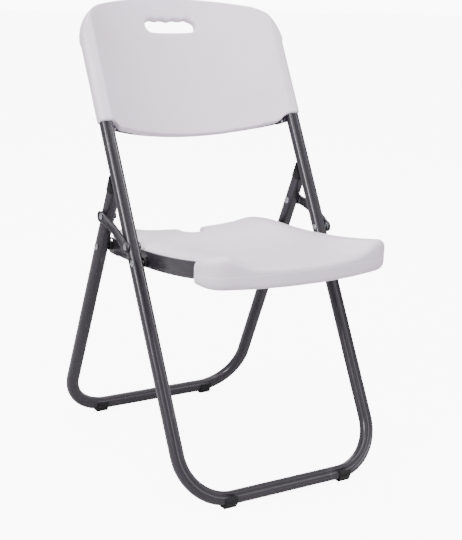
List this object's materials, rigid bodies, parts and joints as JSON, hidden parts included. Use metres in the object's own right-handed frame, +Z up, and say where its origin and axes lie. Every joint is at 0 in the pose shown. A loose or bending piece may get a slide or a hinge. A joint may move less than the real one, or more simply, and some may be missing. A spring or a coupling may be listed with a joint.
{
  "type": "folding chair",
  "caption": "Folding chair with a hollow moulded plastic seat and bowed backrest on two fluted steel tube frames, joined by arched links so that it folds flat.",
  "frame": {"origin": "on the floor under the middle of the chair's box", "axes": "+Z up, the sitter faces -Y, +X is the side to the right of someone who faces the front of the chair"},
  "size_m": [0.4504, 0.5744, 0.86],
  "materials": {
    "shell_plastic": "fine-grained blow-moulded plastic, pale grey",
    "frame_steel": "satin dark grey powder coat",
    "link_steel": "satin near-black powder coat",
    "zinc_steel": "bright zinc plate",
    "black_plastic": "black moulded plastic"
  },
  "bodies": {
    "front_frame": {"backrest_crossbar": "frame_steel", "backrest_panel": "shell_plastic", "backrest_screws": "zinc_steel", "front_frame_tube": "frame_steel", "front_pad_left": "black_plastic", "front_pad_right": "black_plastic", "link_front_washer_left": "black_plastic", "link_front_washer_right": "black_plastic", "link_pivot_rivet_left": "zinc_steel", "link_pivot_rivet_right": "zinc_steel", "seat_pivot_rivet_left": "zinc_steel", "seat_pivot_rivet_right": "zinc_steel", "seat_spacer_left": "black_plastic", "seat_spacer_right": "black_plastic"},
    "seat": {"seat_brace_front": "frame_steel", "seat_brace_rear": "frame_steel", "seat_panel": "shell_plastic", "seat_rail_left": "frame_steel", "seat_rail_right": "frame_steel", "seat_screws": "zinc_steel"},
    "link_left": {"link_left": "link_steel"},
    "link_right": {"link_right": "link_steel"},
    "rear_frame": {"leg_cap_left": "black_plastic", "leg_cap_right": "black_plastic", "leg_link_rivet_left": "zinc_steel", "leg_link_rivet_right": "zinc_steel", "leg_rail_rivet_left": "zinc_steel", "leg_rail_rivet_right": "zinc_steel", "leg_rail_washer_left": "black_plastic", "leg_rail_washer_right": "black_plastic", "leg_spacer_left": "black_plastic", "leg_spacer_right": "black_plastic", "link_rear_washer_left": "black_plastic", "link_rear_washer_right": "black_plastic", "rear_leg_tube": "frame_steel", "rear_pad_left": "black_plastic", "rear_pad_right": "black_plastic"}
  },
  "joints": [
    {"name": "seat_fold", "type": "hinge", "parent": "front_frame", "child": "seat", "pos_m": [0, -0.04128, 0.40483], "axis": [-1, 0, 0], "range_deg": [0, 108.3]},
    {"name": "link_left_turn", "type": "hinge", "parent": "front_frame", "child": "link_left", "pos_m": [0, -0.02634, 0.43257], "axis": [-1, 0, 0], "range_deg": [0, 124.2]},
    {"name": "link_right_turn", "type": "hinge", "parent": "front_frame", "child": "link_right", "pos_m": [0, -0.02634, 0.43257], "axis": [-1, 0, 0], "range_deg": [0, 124.2]},
    {"name": "leg_fold", "type": "hinge", "parent": "link_left", "child": "rear_frame", "pos_m": [0, 0.07474, 0.46858], "axis": [-1, 0, 0], "range_deg": [-72.5, 0]}
  ],
  "couplings": [
    {"joint": "link_left_turn", "follows": "seat_fold", "ratio": 1.146},
    {"joint": "link_right_turn", "follows": "seat_fold", "ratio": 1.146},
    {"joint": "leg_fold", "follows": "seat_fold", "ratio": -0.6686}
  ]
}
